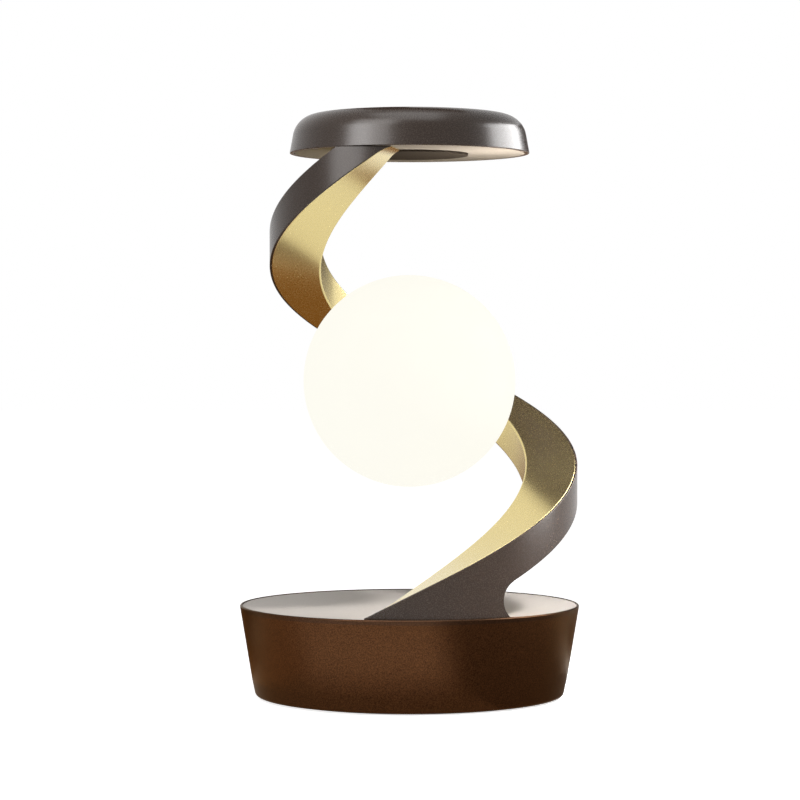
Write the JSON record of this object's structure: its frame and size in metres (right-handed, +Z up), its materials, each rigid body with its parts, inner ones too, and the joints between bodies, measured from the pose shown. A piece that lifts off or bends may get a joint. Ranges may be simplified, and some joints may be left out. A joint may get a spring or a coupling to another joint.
{
  "type": "bedside lamp",
  "caption": "Table lamp with a round charging base, a ribbon climbing one turn round an opal globe to a round cap, and push buttons at the back.",
  "frame": {"origin": "on the table, at the middle of the base, under the common axis of base, globe and cap", "axes": "+Z up along that axis, +Y to the back where the inlet and buttons are, +X to the lamp's right as seen from the front"},
  "size_m": [0.1602, 0.1602, 0.2742],
  "materials": {
    "base_brown": "satin paint with a fine grain",
    "trim_metal": "satin",
    "plate_pale": "smooth satin",
    "gold": "satin gold anodised",
    "dark_metal": "satin dark paint",
    "opal": "opal, lit from inside",
    "under_pale": "smooth satin",
    "hub_dark": "satin",
    "cover_dark": "fine matte",
    "panel_dark": "fine matte",
    "button_grey": "satin",
    "rubber": "matte",
    "steel": "plated",
    "ballast": "plain rolled",
    "bright_metal": "plain",
    "copper": "enamelled wire",
    "ferrite": "matte",
    "tray_white": "plain",
    "board_green": "lacquered",
    "board_white": "lacquered",
    "parts_black": "moulded",
    "chip_yellow": "phosphor",
    "lead_white": "smooth",
    "lead_red": "smooth"
  },
  "bodies": {
    "lamp": {"base_shell": "base_brown", "rim_trim": "trim_metal", "charging_plate": "plate_pale", "charging_coil": "copper", "ferrite_disc": "ferrite", "coil_tray": "tray_white", "tray_screws": "steel", "bottom_cover": "cover_dark", "cover_screws": "steel", "foot_pad": "rubber", "ballast_plate": "ballast", "ballast_screws": "steel", "main_board": "board_green", "board_screws": "steel", "board_parts": "parts_black", "inlet_shell": "bright_metal", "inlet_tongue": "parts_black", "rear_panel": "panel_dark", "switch_bodies": "tray_white", "ribbon_channel": "gold", "ribbon_strip": "dark_metal", "foot_block": "bright_metal", "foot_screws": "steel", "head_block": "bright_metal", "head_screws": "steel", "lamp_lead": "lead_white", "coil_lead": "lead_red", "globe": "opal", "globe_collar": "tray_white", "collar_seal": "rubber", "lamp_stem": "steel", "stem_nut": "steel", "heat_sink": "bright_metal", "light_board": "board_white", "light_chips": "chip_yellow", "cap_shell": "dark_metal", "under_plate": "under_pale", "cap_screws": "steel", "hub_cover": "hub_dark"},
    "power_key": {"power_button": "button_grey", "power_plunger": "parts_black"},
    "tone_key": {"tone_button": "button_grey", "tone_plunger": "parts_black"}
  },
  "joints": [
    {"name": "power_press", "type": "slide", "parent": "lamp", "child": "power_key", "axis": [0, -1, 0], "range_m": [0, 0.0008], "stiffness_N_per_m": 2000},
    {"name": "tone_press", "type": "slide", "parent": "lamp", "child": "tone_key", "axis": [0, -1, 0], "range_m": [0, 0.0008], "stiffness_N_per_m": 2000}
  ]
}
